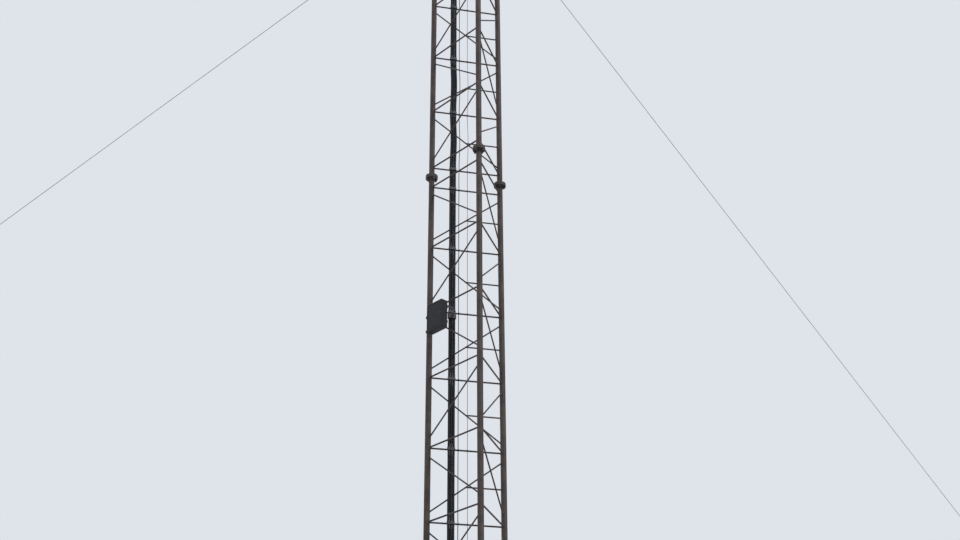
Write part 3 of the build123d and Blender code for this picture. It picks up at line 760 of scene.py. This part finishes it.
for section in SECTIONS:
    for face in FACES:
        piece(f"{section}_{face}_bars", face_bars(face, section), "mast_steel", [f"{section}_{face}_lattice"])
flanges, welds = flange_joints()
piece("flange_discs", flanges, "mast_steel", [f"{section}_flanges" for section in SECTIONS])
piece("flange_welds", welds, "mast_steel")


# Bolted joints

def bolt_places(centre, radius, count, angle, level):
    """Upright places spaced evenly round a bolt circle, each turned by its own small angle."""
    angles = radians(angle) + turns(count)
    return [place(centre + np.array((radius * cos(spot), radius * sin(spot), level)),
                  x=(cos(twist), sin(twist), 0)) for spot, twist in zip(angles, rng.uniform(0, 6, count))]


def flange_bolts():
    """The flanges' screws into the base plate, and the bolts through their joints and the head plate."""
    through = bolt(FLANGE_THREAD, 2 * FLANGE_THICKNESS, "head", "nut")
    head_grip = FLANGE_THICKNESS + HEAD_TOP - HEAD_UNDERSIDE
    joints = [(BASE_TOP, bolt(FLANGE_THREAD, FLANGE_THICKNESS, "head"))]
    joints += [(FLOORS[section] - FLANGE_THICKNESS, through) for section in SECTIONS[1:]]
    joints += [(HEAD_UNDERSIDE - FLANGE_THICKNESS, bolt(FLANGE_THREAD, head_grip, "head", "nut"))]
    blocks = []
    for level, block in joints:
        for name, angle in LEGS.items():
            first = angle + 180 / FLANGE_BOLTS
            blocks.append(placed(block, bolt_places(AXES[name], FLANGE_CIRCLE, FLANGE_BOLTS, first, level)))
    return blocks


def foundation_nuts():
    """The nuts of the foundation bolts, on the base plate."""
    places = bolt_places(np.zeros(3), FOUNDATION_CIRCLE, FOUNDATION_BOLTS, 0, 0)
    return [placed(bolt(FOUNDATION_THREAD, BASE_TOP, "nut"), places)]


piece("flange_bolts", flange_bolts(), "zinc_fittings")
piece("foundation_nuts", foundation_nuts(), "zinc_fittings")


# Cables on the back face

def sway(heights, outward):
    """How far a cable stands from its straight line, with u running from 0 to 1 between two level bars.

    The cables draw together by reach (1 - cos^40(pi u)), and in the slack bays they also bow by sin^2(pi u).
    """
    knots = np.concatenate([[0.0], ALL_RINGS, [HEAD_TOP]])
    bay = np.clip(np.searchsorted(knots, heights, side="right") - 1, 0, len(knots) - 2)
    share = (heights - knots[bay]) / (knots[bay + 1] - knots[bay])
    centre = ((knots[:-1] + knots[1:]) / 2)[bay]
    slack = (centre > SLACK_BAYS[0]) & (centre < SLACK_BAYS[1])
    drawn = -rng.uniform(*CABLE_REACH_MM, len(knots) - 1)[bay] * MM * (1 - np.cos(pi * share) ** 40)
    bowed = np.where(slack, SLACK_BOW * np.sin(pi * share) ** 2, 0)
    return drawn[:, None] * np.asarray(outward, float) + bowed[:, None] * np.array(SLACK_WAY)


def upright_path(spot, outward, low=CABLE_FOOT, high=HEAD_TOP, step=ROW_STEP):
    """A path straight up over a spot that sways a little between the level bars."""
    heights = np.linspace(low, high, ceil((high - low) / step))
    return spot * (1, 1, 0) + UP * heights[:, None] + sway(heights, outward)


def earth_strand():
    """The earth wire's strand, from the base plate to the head plate."""
    low, high = (corner.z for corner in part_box("earth_wire"))
    path = upright_path(EARTH_WIRE, EARTH_WIRE_OUTWARD, low, high, STRAND_LAY / STRAND_STEPS)
    return laid_strand(path, (1, 0, 0), EARTH_WIRE_RADIUS, STRAND_LAY)


feeder_paths = [upright_path(spot, outward) for spot, outward in zip(FEEDER_SPOTS, FEEDERS_OUTWARD)]
thin_path = upright_path(THIN_CABLE, THIN_CABLE_OUTWARD)
piece("feeder_jackets", [tube(path, FEEDER_RADIUS, (1, 0, 0), 20) for path in feeder_paths], "cable_jacket",
      ["feeder_cables"])
piece("thin_cable_jacket", [tube(thin_path, THIN_CABLE_RADIUS, (1, 0, 0))], "cable_jacket", ["thin_cable"])
piece("earth_strand", [earth_strand()], "wire_strand", ["earth_wire"])


def u_bolt(radius, legs, wire):
    """A U-shaped bolt in the plane of X and Y: a half circle about the origin open to +Y, and two legs."""
    bow = polar(radius, np.linspace(pi, 2 * pi, 19))
    path = np.concatenate([[(-radius, legs)], bow, [(radius, legs)]])
    return tube(levelled(path, 0.0), wire / 2, UP, 12)


def feeder_straps():
    """A strap round the three feeders at each level bar, and the hooked bolt that holds it to the bar."""
    path = levelled(stadium(FEEDER_PITCH, FEEDER_RADIUS + TIGHT_CLEARANCE + STRAP_THICKNESS / 2), 0)
    strap = looped(path, flat_profile(STRAP_THICKNESS, STRAP_HEIGHT, STRAP_EDGE), UP)
    legs = RUNG_Y - FEEDERS[1] - FEEDER_RADIUS - STRAP_THICKNESS
    hook = u_bolt(RING_RADIUS + HOOK_CLEARANCE + HOOK_WIRE / 2, legs, HOOK_WIRE)
    hook_places = [place((FEEDERS[0], RUNG_Y, level), z=(1, 0, 0), x=(0, 0, 1)) for level in ALL_RINGS]
    return [placed(strap, [place(FEEDERS * (1, 1, 0) + UP * level) for level in ALL_RINGS]),
            placed(hook, hook_places)]


def cable_tie(cable, cable_radius, level):
    """A tie round a cable and a level bar: an ellipse in the plane of Y and the diagonal of X and Z."""
    far = RUNG_Y + RING_RADIUS + TIE_THICKNESS / 2
    near = cable[1] - cable_radius - TIE_THICKNESS / 2
    angle = turns(28)[:, None]
    diagonal = np.array((1, 0, 1)) / np.sqrt(2)
    forward = np.array((0, 1, 0))
    centre = np.array((cable[0], (far + near) / 2, level))
    path = (centre + np.cos(angle) * TIE_REACH * (far - near) * forward
            + np.sin(angle) * TIE_SPREAD * RING_RADIUS * diagonal)
    return looped(path, flat_profile(TIE_THICKNESS, TIE_WIDTH, STRIP_EDGE), np.cross(forward, diagonal))


ties = [cable_tie(cable, radius, level) for level in ALL_RINGS
        for cable, radius in ((THIN_CABLE, THIN_CABLE_RADIUS), (EARTH_WIRE, EARTH_WIRE_RADIUS))]
piece("feeder_straps", feeder_straps(), "zinc_fittings", ["feeder_cleats"])
piece("cable_ties", ties, "cable_jacket")


# Box

def box_spot(along, height, out):
    """A point from its distances along the left face, above the box's middle and out of the leg's axis."""
    return AXES["left"] + LEFT_ALONG * along + UP * (BOX_LEVEL + height) + LEFT_OUTWARD * out


def band_path():
    """A band's way round the leg and over a rail: an arc about the leg, its tangents and a flat front."""
    radius, front = LEG_RADIUS + BAND_THICKNESS / 2, BOX_BACK + BAND_THICKNESS / 2
    corner = np.array((RAIL_OVERHANG, front))
    tangent = np.arctan2(corner[1], corner[0]) - np.arccos(radius / np.hypot(*corner))
    arc = polar(radius, np.linspace(pi - tangent, 2 * pi + tangent, 48))
    right = [corner + (BAND_BEND, -BAND_BEND), corner, corner - (2 * BAND_BEND, 0)]
    return np.concatenate([arc, right, np.array(right[::-1]) * (-1, 1)])


def lid():
    """The box's lid, a pressed panel with a rolled edge and a shallow groove round its face."""
    insets = np.array((1.5, 0, 0, 1.2, 2.4, 3.4, 14, 15, 17.5, 18.5, 23.5, 24.5, 27, 28)) * MM
    edge = [0, 1.2 * MM, 6 * MM, 7.6 * MM]
    levels = edge + 4 * [LID_DEPTH] + 4 * [LID_GROOVE] + 2 * [LID_DEPTH]
    centre = box_spot(BOX_LEG_DISTANCE + BOX_WIDTH / 2, 0, BOX_BACK + BOX_DEPTH)
    panel = pressed_panel(BOX_WIDTH, BOX_HEIGHT, LID_CORNER, zip(insets, levels))
    return placed(panel, place(centre, z=LEFT_OUTWARD, x=LEFT_ALONG))


def lid_fittings():
    """The knuckles of the lid's hinges, and its turned latch."""
    front = BOX_BACK + BOX_DEPTH
    knuckle = turned(in_mm((4.5, -22), (5, -21), (5, 21), (4.5, 22)), 20)
    blocks = []
    for height in (-HINGE_LEVEL, HINGE_LEVEL):
        spot = box_spot(BOX_LEG_DISTANCE - HINGE_OUT, height, front)
        blocks.append(placed(knuckle, place(spot, x=LEFT_ALONG)))
    barrel = turned(in_mm((13, 0), (13, 3), (11, 4.5), (8, 4.5), (8, 8), (6.5, 9)), 28)
    latch = box_spot(BOX_LEG_DISTANCE + BOX_WIDTH - LATCH_INSET, 0, front + LATCH_LIFT)
    return blocks + [placed(barrel, place(latch, z=LEFT_OUTWARD, x=UP))]


def rail_bands():
    """The steel band of each rail round the leg, with its buckle and the end that is folded back over it."""
    flat = band_path()
    path = LEFT_ALONG * flat[:, :1] + LEFT_OUTWARD * flat[:, 1:]
    band = looped(path, flat_profile(BAND_THICKNESS, BAND_WIDTH, STRIP_EDGE), UP)
    buckle = pressed_panel(**BUCKLE, profile=in_mm((0, 0), (0, 2.4), (1.2, 3.6), (2.4, 3.6)))
    fold = pressed_panel(**FOLDED_END, profile=in_mm((0, 0), (0, 1.2), (0.4, 1.6)))
    blocks = []
    for height in (-RAIL_LEVEL, RAIL_LEVEL):
        blocks.append(placed(band, place(AXES["left"] + UP * (BOX_LEVEL + height))))
        for shape, along, out in ((buckle, -1 * MM, BAND_THICKNESS), (fold, 2 * MM, BAND_THICKNESS + 3 * MM)):
            spot = box_spot(along, height, BOX_BACK + out)
            blocks.append(placed(shape, place(spot, LEFT_OUTWARD, LEFT_ALONG)))
    return blocks


def conduit_gland():
    """The nut and collar where the conduit leaves the box's back."""
    collar = turned(in_mm((14, 9), (14, 15), (12, 19), (10.4, 20)), 28)
    gland = joined([hexagon(GLAND_FLATS, 0, 9 * MM), collar])
    spot = box_spot(BOX_LEG_DISTANCE + BOX_WIDTH - CONDUIT_EDGE_DISTANCE, CONDUIT_HEIGHT, BOX_BACK)
    return placed(gland, place(spot, z=-LEFT_OUTWARD, x=UP))


piece("box_lid", [lid()], "box_paint", ["equipment_box_door"])
piece("box_fittings", lid_fittings() + rail_bands() + [conduit_gland()], "zinc_fittings")


# Stays

def around(matrix):
    """A place turned to each of the three stays."""
    return [np.array(Matrix.Rotation(radians(angle), 4, "Z")) @ matrix for angle in LEGS.values()]


def on_stay(distance, from_anchor=False):
    """Places on the three stays at a distance from one of their pins, with X along the stay to the other."""
    ends = (ANCHOR_EYE, LUG_EYE) if from_anchor else (LUG_EYE, ANCHOR_EYE)
    along = unit(ends[1] - ends[0])
    return around(place(ends[0] + along * distance, z=(0, 1, 0), x=along))


def teardrop(radius, low):
    """A loop round the origin whose two ends run together along +X, for t from low to 360 - low degrees.

    x = radius (0.5 + 1.5 cos t) and y = 1.22 radius sin t sin(t / 2), so its far end bends by the radius.
    """
    angle = np.linspace(radians(low), radians(360 - low), 49)
    across = 1.22 * radius * np.sin(angle) * np.sin(angle / 2)
    return np.stack([radius * (0.5 + 1.5 * np.cos(angle)), across, 0 * angle], axis=-1)


def stay_end():
    """The parts of a stay's end: a grooved thimble, the pressed ferrule, and the strand round the thimble."""
    bend = np.linspace(radians(-75), radians(75), 7)
    inner = polar(STRAND_RADIUS + TIGHT_CLEARANCE, bend)
    outer = polar(STRAND_RADIUS + TIGHT_CLEARANCE + THIMBLE_SHEET, bend[::-1])
    channel = np.concatenate([inner, outer])[:, ::-1] * (1, -1)
    centre = EYE_RADIUS + THIMBLE_WALL + STRAND_RADIUS
    thimble = carried(teardrop(centre, 44), channel, UP)
    loop = laid_strand(teardrop(centre, 18), UP, STRAND_RADIUS, STRAND_LAY)
    start = 2 * TEARDROP - 7 * MM
    end = 2 * TEARDROP + FERRULE_LENGTH
    ferrule = turned([(7.5 * MM, start), (8.5 * MM, start), (FERRULE_RADIUS, start + 3 * MM),
                      (FERRULE_RADIUS, end - 14 * MM), (7 * MM, end - 3 * MM), (5 * MM, end)], 28)
    return thimble, placed(ferrule, LYING), loop


def stay_strand():
    """A stay's strand from ferrule to ferrule, along X from the pin at the mast."""
    start = THIMBLE_AT_LUG + 2 * TEARDROP
    end = STAY_LENGTH - THIMBLE_AT_ANCHOR - 2 * TEARDROP
    rows = ceil((end - start) / STRAND_LAY * STRAND_STEPS)
    return laid_strand(np.linspace((start, 0, 0), (end, 0, 0), rows), UP, STRAND_RADIUS, STRAND_LAY)


stay_ends = on_stay(THIMBLE_AT_LUG) + on_stay(THIMBLE_AT_ANCHOR, from_anchor=True)
piece("thimbles", [placed(block, stay_ends) for block in stay_end()], "zinc_fittings", ["stay_thimbles"])
strand = stay_strand()
for name, matrix in zip(LEGS, on_stay(0)):
    piece(f"{name}_stay_strand", [placed(strand, matrix)], "wire_strand", [f"{name}_stay"])


def split_ring():
    """The split ring through a pin's end: a ring beside the pin, in the plane of X and Y."""
    radius, wire_radius, aside = 5.5 * MM, 1.2 * MM, (5 * MM, 0, 0)
    path = polar(radius, turns(20), 0) + aside
    return swept(path, unit(path - aside), UP, circle(wire_radius, 8), closed=True)


def pin_fittings():
    """What keeps the pins in: a head and a nut on each shackle pin, a split ring at each jaw pin's ends."""
    side = JAW_GAP + SHACKLE_WIRE
    head = joined([hexagon(PIN_FLATS, side, side + PIN_HEAD), hexagon(PIN_FLATS, -side - PIN_NUT, -side)])
    end = JAW_GAP + JAW_CHEEK + JAW_PIN_END / 2
    cap = turned(in_mm((9.5, 0), (9.5, 2), (8.2, 2.8)), 24)
    keepers = [placed(split_ring(), place((0, 0, height))) for height in (-end, end)]
    keepers.append(placed(cap, place((0, 0, end + JAW_PIN_END / 2 - 2 * MM))))
    jaw_pins = on_stay(0, from_anchor=True) + on_stay(TURNBUCKLE_LENGTH, from_anchor=True)
    return [placed(head, on_stay(0)), placed(joined(keepers), jaw_pins)]


def forged_jaw():
    """A fork on the pin at the origin: two eye cheeks, and a square root drawn down to the round screw.

    Each section of the root is |y|^n + |z|^n = half^n, with n going from 9 to 2.
    """
    half = JAW_GAP + JAW_CHEEK
    edge, root = 1.2 * MM, JAW_REACH + 1 * MM
    angle = np.linspace(pi / 2, 3 * pi / 2, 15)
    blocks = []
    for side in (-1, 1):
        rows = []
        for inset, level in ((edge, 0), (0, edge), (0, JAW_CHEEK - edge), (edge, JAW_CHEEK)):
            reach = half - inset
            outline = np.concatenate([polar(reach, angle), [(root, -reach), (root, reach)]])
            rows.append(levelled(outline, side * (JAW_GAP + level)))
        blocks.append(skin(np.stack(rows)))
    angle = turns(32)
    rows = []
    for along, reach, power in ((0, half - 1.5 * MM, 9), (1.5 * MM, half, 9), (10 * MM, half, 9),
                                (16 * MM, 16 * MM, 6), (21 * MM, 14 * MM, 4), (24.5 * MM, 12.6 * MM, 2),
                                (26 * MM, 11.6 * MM, 2)):
        swell = reach / (np.abs(np.cos(angle)) ** power + np.abs(np.sin(angle)) ** power) ** (1 / power)
        rows.append(np.column_stack([np.full(len(angle), JAW_REACH + along), polar(swell, angle)]))
    blocks.append(skin(np.stack(rows)))
    return joined(blocks)


def jaws_and_screws():
    """A jaw, its screw's thread and the lock nut against the barrel, at both ends of a turnbuckle."""
    boss = JAW_LENGTH + SCREW_SHOWN
    ridges = thread(SCREW_RADIUS + RIDGE_HEIGHT, JAW_LENGTH - 1 * MM, boss + SCREW_INSIDE, SCREW_PITCH, 20)
    lock = hexagon(LOCK_FLATS, boss - CLEARANCE - LOCK_HEIGHT, boss - CLEARANCE)
    end = joined([placed(joined([ridges, lock]), LYING), forged_jaw()])
    far = np.array(Matrix.Translation((TURNBUCKLE_LENGTH, 0, 0)) @ Matrix.Rotation(pi, 4, "Z"))
    return [placed(joined([end, placed(end, far)]), on_stay(0, from_anchor=True))]


def barrels():
    """A turnbuckle's open frame: two bosses with turned edges, and two bars let into them with a bead."""
    ring = chamfered_ring(SCREW_RADIUS + CLEARANCE, BOSS_RADIUS, BOSS_LENGTH, BOSS_CHAMFER, 40)
    boss = placed(ring, LYING)
    bar_bead = placed(ring_bead((0, 0, 0), BARREL_BAR / 2, BARREL_WELD), LYING)
    aside = SCREW_RADIUS + 1 * MM + BARREL_BAR / 2
    far = BARREL_LENGTH - BOSS_LENGTH
    blocks = [boss, placed(boss, place((far, 0, 0)))]
    for y in (-aside, aside):
        bar = tube([(BOSS_LENGTH / 2, y, 0), (BARREL_LENGTH - BOSS_LENGTH / 2, y, 0)], BARREL_BAR / 2, UP)
        blocks += [bar, placed(bar_bead, [place((BOSS_LENGTH, y, 0)), place((far, y, 0))])]
    return [placed(joined(blocks), on_stay(JAW_LENGTH + SCREW_SHOWN, from_anchor=True))]


piece("pin_keepers", pin_fittings(), "zinc_fittings")
piece("forged_jaws", jaws_and_screws(), "zinc_fittings", ["turnbuckle_jaws"])
piece("welded_barrels", barrels(), "zinc_fittings", ["turnbuckle_barrels"])


def anchor_nuts_and_welds():
    """The nuts of an anchor plate, and the beads along its eye plate and gussets and up their corners."""
    top = ANCHOR_PLATE
    places = bolt_places(np.zeros(3), ANCHOR_CIRCLE, ANCHOR_BOLTS, 45, 0)
    blocks = [placed(bolt(ANCHOR_THREAD, top, "nut"), places)]
    for side in (-1, 1):
        for way in (-1, 1):
            x, y = side * GUSSET_HALF, way * LUG_HALF
            blocks.append(bead((x, y, top), (side * ANCHOR_HALF, y, top), PLATE_WELD, UP))
            blocks.append(bead((x, y, top), (x, way * ANCHOR_HALF, top), PLATE_WELD, UP))
            blocks.append(bead((x, y, top), (x, y, top + GUSSET_HEIGHT), CORNER_WELD, (1, 0, 0)))
    return [placed(joined(blocks), around(place((ANCHOR_RADIUS, 0, 0))))]


def lug_welds():
    """The beads down both sides of each eye plate, where it meets its leg."""
    reach = LEG_CIRCLE + np.sqrt(LEG_RADIUS ** 2 - LUG_HALF ** 2)
    low, high = STAY_LEVEL - LUG_HEIGHT / 2, STAY_LEVEL + LUG_HEIGHT / 2
    beads = [bead((reach, side, low), (reach, side, high), PLATE_WELD, (1, 0, 0))
             for side in (-LUG_HALF, LUG_HALF)]
    return [placed(joined(beads), around(np.eye(4)))]


piece("anchor_nuts_and_welds", anchor_nuts_and_welds(), "zinc_fittings")
piece("lug_welds", lug_welds(), "mast_steel")


# Head

def connector(radius):
    """A capped coaxial connector: a turned body, a nut, a knurled sleeve with r = swell (1 + 0.02 cos 24 a)
    and a cap whose dome is a quarter ellipse.
    """
    waist, cap = 0.8 * radius, 0.86 * radius
    dome_foot = 46 * MM
    body = turned([(radius, 0), (radius, 7 * MM), (waist, 8 * MM), (waist, 20 * MM)], 36)
    nut = hexagon(1.75 * radius, 8 * MM, 18 * MM)
    angle = turns(72)
    levels = np.array([20, 21, 43, 44]) * MM
    swell = np.array([0.86, 0.94, 0.94, 0.86])[:, None] * radius
    sleeve = skin(polar(swell * (1 + 0.02 * np.cos(angle * 24)), angle, levels[:, None]))
    rise = np.linspace(0, 1, 7)[:-1] * pi / 2
    arc = [(cap * cos(share), dome_foot + (CONNECTOR_HEIGHT - dome_foot) * sin(share)) for share in rise]
    dome = turned([(cap, 44 * MM)] + arc + [(1 * MM, CONNECTOR_HEIGHT)], 36)
    return joined([body, nut, sleeve, dome])


def connectors():
    """The connectors of the feeders and of the thin cable, on the head plate."""
    feeder_heads = [place((*spot[:2], HEAD_TOP)) for spot in FEEDER_SPOTS]
    return [placed(connector(FEEDER_CONNECTOR_RADIUS), feeder_heads),
            placed(connector(THIN_CONNECTOR_RADIUS), place((*THIN_CABLE[:2], HEAD_TOP)))]


def earth_lug():
    """A pressed lug on the earth wire's end: a sleeve and a round-ended palm, bolted to a plate at 0."""
    outline = stadium(PALM_REACH / 2, PALM_WIDTH / 2) + (PALM_REACH / 2, 0)
    palm = skin(np.stack([levelled(outline, level) for level in (-PALM_DROP, PALM_THICKNESS - PALM_DROP)]))
    sleeve = turned(in_mm((3.2, -34), (5.2, -34), (5.2, -8), (3.6, -6)), 20)
    screw = placed(bolt(PALM_THREAD, 0, "head"), place((PALM_REACH, 0, -PALM_DROP), z=(0, 0, -1)))
    return joined([sleeve, palm, screw])


def lugs_and_set_screws():
    """The earth wire's lugs under the head plate and on the base plate, and the screws that hold the rod."""
    x, y = EARTH_WIRE[:2]
    lug_places = [place((x, y, HEAD_UNDERSIDE), x=(0, -1, 0)),
                  place((x, y, BASE_TOP), z=(0, 0, -1), x=(0, -1, 0))]
    rod = np.array((ROD_X, y, HEAD_TOP))
    screw_places = [place(rod + UP * level, z=SET_SCREW_WAY, x=UP) for level in SET_SCREW_LEVELS]
    set_screw = bolt(SET_SCREW_THREAD, ROD_SOCKET_RADIUS, "head")
    return [placed(earth_lug(), lug_places), placed(set_screw, screw_places)]


piece("capped_connectors", connectors(), "bare_metal", ["cable_connectors"])
piece("earth_lugs_and_set_screws", lugs_and_set_screws(), "zinc_fittings")


# Floor, light and camera

def pale_floor(reach=900.0):
    """A plain pale floor."""
    mesh = bpy.data.meshes.new("floor")
    corners = [(-reach, -reach, 0), (reach, -reach, 0), (reach, reach, 0), (-reach, reach, 0)]
    mesh.from_pydata(corners, [], [(0, 1, 2, 3)])
    mesh.materials.append(new_material("pale_floor", Roughness=0.9, Base_Color=linear("#d9dade"))[0])
    linked("floor", mesh)


def pale_sky():
    """A sky that lights the mast softly, and that the camera and reflections see at full strength."""
    world = bpy.data.worlds.new("studio")
    bpy.context.scene.world = world
    world.use_nodes = True
    tree = world.node_tree
    rays = add(tree, "LightPath").node.outputs
    seen = add(tree, "Math", {0: rays["Is Camera Ray"], 1: rays["Is Glossy Ray"]}, operation="MAXIMUM")
    seen = add(tree, "Math", {0: seen, 1: rays["Is Transmission Ray"]}, operation="MAXIMUM")
    strength = add(tree, "MapRange", {"Value": seen, "To Min": 0.55, "To Max": 1.0})
    backdrop = tree.nodes["Background"]
    backdrop.inputs["Color"].default_value = linear("#dfe3ea")
    tree.links.new(strength, backdrop.inputs["Strength"])


def soft_lamps():
    """Wide lamps from three sides."""
    for name, (azimuth, height, spread, power) in LAMPS.items():
        light = bpy.data.lights.new(name, "SUN")
        light.energy = power
        light.angle = radians(spread)
        aside, level = radians(azimuth), cos(radians(height))
        way = Vector((sin(aside) * level, -cos(aside) * level, sin(radians(height))))
        lamp = linked(name, light)
        lamp.rotation_mode = "QUATERNION"
        lamp.rotation_quaternion = way.to_track_quat("Z", "Y")


def camera():
    """The photograph's camera: at eye height in front of the mast, to the left, looking up."""
    lens = bpy.data.cameras.new("camera")
    lens.sensor_width = CAMERA_SENSOR
    lens.lens = CAMERA_LENS
    lens.clip_end = 2000
    heading = Matrix.Rotation(-radians(CAMERA_HEADING), 4, "Z")
    pitch = Matrix.Rotation(pi / 2 + radians(CAMERA_PITCH), 4, "X")
    roll = Matrix.Rotation(radians(CAMERA_ROLL), 4, "Z")
    eye = linked("camera", lens)
    eye.matrix_world = Matrix.Translation(CAMERA_PLACE) @ (heading @ pitch @ roll)
    bpy.context.scene.camera = eye


pale_floor()
pale_sky()
soft_lamps()
camera()
bpy.context.scene.view_settings.view_transform = "Standard"
